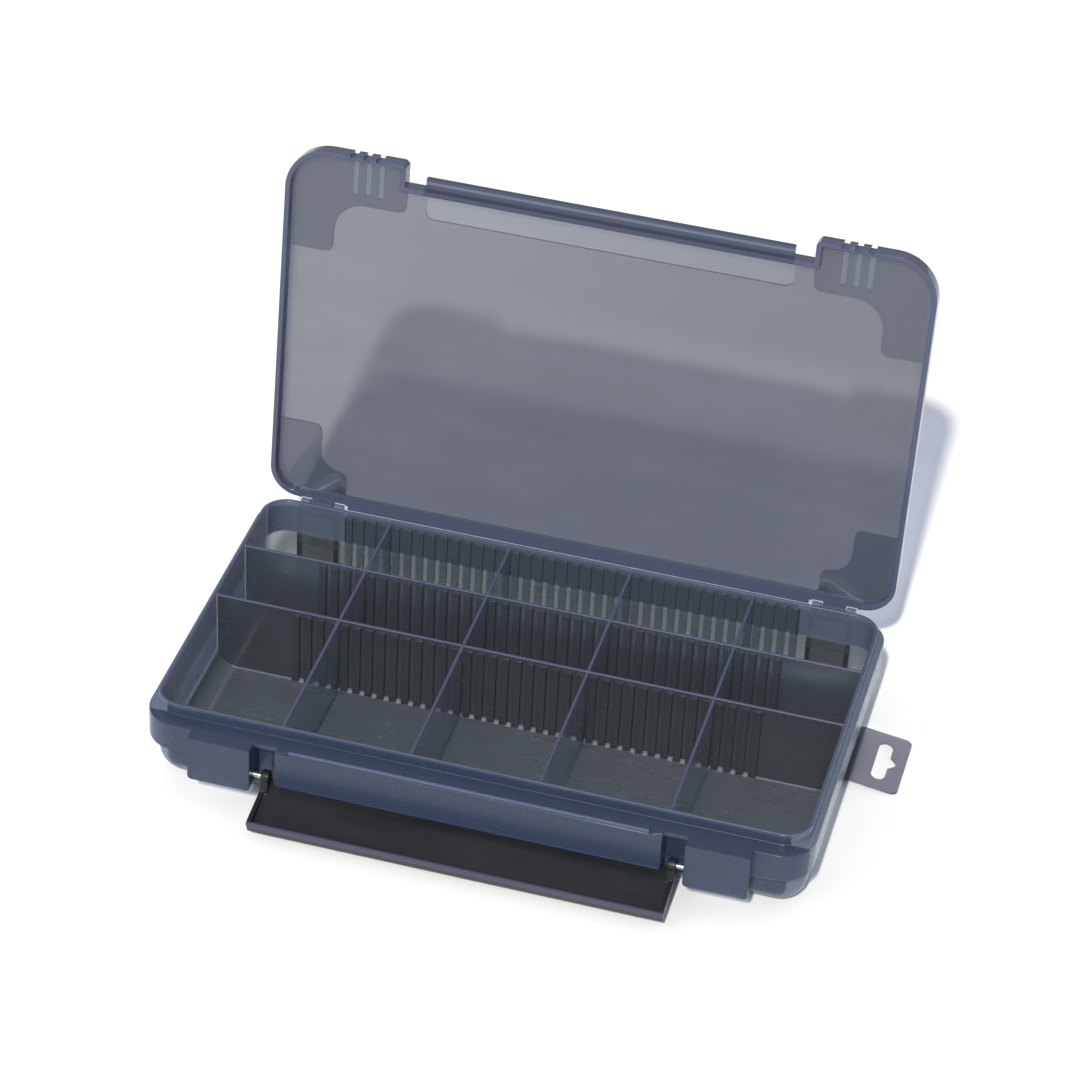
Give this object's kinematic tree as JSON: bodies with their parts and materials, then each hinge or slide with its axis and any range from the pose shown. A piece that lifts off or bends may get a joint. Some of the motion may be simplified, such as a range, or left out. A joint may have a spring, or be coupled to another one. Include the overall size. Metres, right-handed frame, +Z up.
{
  "type": "tackle box",
  "caption": "Flat compartment box with a hinged lid open on its stop, a wide front latch, loose lift-out dividers and a slotted hang tab.",
  "frame": {"origin": "centre of the tray's underside, on the surface the box stands on", "axes": "+X along the box, +Y to the hinge side, +Z up; lid and latch are stored open"},
  "size_m": [0.2495, 0.1787, 0.1666],
  "materials": {
    "base": "frosted translucent",
    "lid": "frosted translucent",
    "latch": "dark translucent",
    "pin": "bright",
    "divider": "frosted translucent",
    "tab": "clear film"
  },
  "bodies": {
    "tray": {"base": "base", "latch_pin_left": "pin", "latch_pin_right": "pin", "hinge_pin_left": "pin", "hinge_pin_right": "pin", "hang_tab": "tab"},
    "lid": {"lid": "lid"},
    "latch": {"latch": "latch"},
    "divider_rear_1": {"divider_rear_1": "divider"},
    "divider_rear_2": {"divider_rear_2": "divider"},
    "divider_rear_3": {"divider_rear_3": "divider"},
    "divider_rear_4": {"divider_rear_4": "divider"},
    "divider_middle_1": {"divider_middle_1": "divider"},
    "divider_middle_2": {"divider_middle_2": "divider"},
    "divider_middle_3": {"divider_middle_3": "divider"},
    "divider_middle_4": {"divider_middle_4": "divider"},
    "divider_front_1": {"divider_front_1": "divider"},
    "divider_front_2": {"divider_front_2": "divider"},
    "divider_front_3": {"divider_front_3": "divider"},
    "divider_front_4": {"divider_front_4": "divider"}
  },
  "joints": [
    {"name": "lid_hinge", "type": "hinge", "parent": "tray", "child": "lid", "pos_m": [0, 0.0672, 0.0278], "axis": [-1, 0, 0], "range_deg": [-97.7, 0]},
    {"name": "latch_hinge", "type": "hinge", "parent": "tray", "child": "latch", "pos_m": [0, -0.0684, 0.015], "axis": [1, 0, 0], "range_deg": [-112, 0]},
    {"name": "divider_rear_1_lift", "type": "slide", "parent": "tray", "child": "divider_rear_1", "axis": [0, 0, 1], "range_m": [0, 0.036]},
    {"name": "divider_rear_2_lift", "type": "slide", "parent": "tray", "child": "divider_rear_2", "axis": [0, 0, 1], "range_m": [0, 0.036]},
    {"name": "divider_rear_3_lift", "type": "slide", "parent": "tray", "child": "divider_rear_3", "axis": [0, 0, 1], "range_m": [0, 0.036]},
    {"name": "divider_rear_4_lift", "type": "slide", "parent": "tray", "child": "divider_rear_4", "axis": [0, 0, 1], "range_m": [0, 0.036]},
    {"name": "divider_middle_1_lift", "type": "slide", "parent": "tray", "child": "divider_middle_1", "axis": [0, 0, 1], "range_m": [0, 0.036]},
    {"name": "divider_middle_2_lift", "type": "slide", "parent": "tray", "child": "divider_middle_2", "axis": [0, 0, 1], "range_m": [0, 0.036]},
    {"name": "divider_middle_3_lift", "type": "slide", "parent": "tray", "child": "divider_middle_3", "axis": [0, 0, 1], "range_m": [0, 0.036]},
    {"name": "divider_middle_4_lift", "type": "slide", "parent": "tray", "child": "divider_middle_4", "axis": [0, 0, 1], "range_m": [0, 0.036]},
    {"name": "divider_front_1_lift", "type": "slide", "parent": "tray", "child": "divider_front_1", "axis": [0, 0, 1], "range_m": [0, 0.036]},
    {"name": "divider_front_2_lift", "type": "slide", "parent": "tray", "child": "divider_front_2", "axis": [0, 0, 1], "range_m": [0, 0.036]},
    {"name": "divider_front_3_lift", "type": "slide", "parent": "tray", "child": "divider_front_3", "axis": [0, 0, 1], "range_m": [0, 0.036]},
    {"name": "divider_front_4_lift", "type": "slide", "parent": "tray", "child": "divider_front_4", "axis": [0, 0, 1], "range_m": [0, 0.036]}
  ]
}
